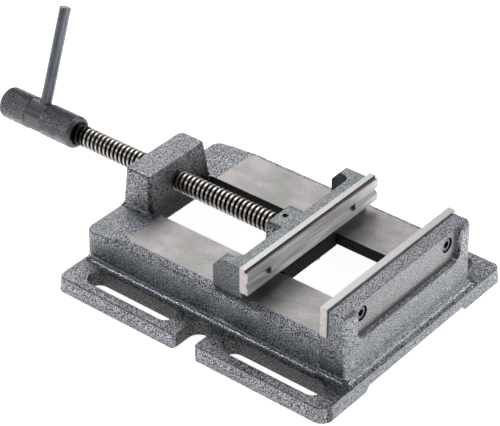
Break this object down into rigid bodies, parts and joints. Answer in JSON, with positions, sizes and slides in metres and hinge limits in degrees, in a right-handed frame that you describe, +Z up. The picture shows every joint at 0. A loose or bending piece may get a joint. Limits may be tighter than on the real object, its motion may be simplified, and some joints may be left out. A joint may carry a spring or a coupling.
{
  "type": "drill press vise",
  "caption": "Low drill press vise with a slotted cast base, a screw-driven moving jaw with a grooved plate, and a knurled handle with a tommy bar.",
  "frame": {"origin": "centre of the bounding box at the underside of the base, in the pose of the picture", "axes": "+X along the spindle, from the handle towards the fixed jaw; +Z up; +Y to the left when looking from the handle towards the fixed jaw"},
  "size_m": [0.3912, 0.213, 0.1351],
  "materials": {
    "hammertone_paint": "hammertone",
    "grey_paint": "satin",
    "ground_steel": "ground",
    "thread_steel": "turned, oiled",
    "dark_steel": "blackened",
    "bar_steel": "satin",
    "bronze": "machined",
    "zinc_steel": "zinc plated"
  },
  "bodies": {
    "base": {"base_casting": "hammertone_paint", "spindle_nut": "bronze", "fixed_jaw_plate": "ground_steel", "fixed_jaw_screw_near": "dark_steel", "fixed_jaw_screw_far": "dark_steel"},
    "moving_jaw": {"moving_jaw_casting": "grey_paint", "moving_jaw_plate": "ground_steel", "moving_jaw_screw_near": "dark_steel", "moving_jaw_screw_far": "dark_steel", "keeper_plate": "dark_steel", "keeper_bolt_1": "zinc_steel", "keeper_bolt_2": "zinc_steel", "keeper_bolt_3": "zinc_steel", "keeper_bolt_4": "zinc_steel", "keeper_washer_1": "zinc_steel", "keeper_washer_2": "zinc_steel", "keeper_washer_3": "zinc_steel", "keeper_washer_4": "zinc_steel", "retaining_screw": "dark_steel", "thrust_washer": "zinc_steel"},
    "spindle": {"spindle": "thread_steel", "handle_sleeve": "dark_steel", "handle_pin": "dark_steel"},
    "tommy_bar": {"tommy_bar": "bar_steel"}
  },
  "joints": [
    {"name": "jaw_slide", "type": "slide", "parent": "base", "child": "moving_jaw", "axis": [1, 0, 0], "range_m": [-0.087, 0.0615]},
    {"name": "spindle_turn", "type": "hinge", "parent": "moving_jaw", "child": "spindle", "pos_m": [0.07171, 0, 0.0507], "axis": [1, 0, 0], "range_deg": [-8000, 5700]},
    {"name": "bar_slide", "type": "slide", "parent": "spindle", "child": "tommy_bar", "axis": [0, 0.3502, 0.9367], "range_m": [-0.072, 0.012]}
  ],
  "couplings": [
    {"joint": "spindle_turn", "follows": "jaw_slide", "rad_per_m": 1570.8}
  ]
}
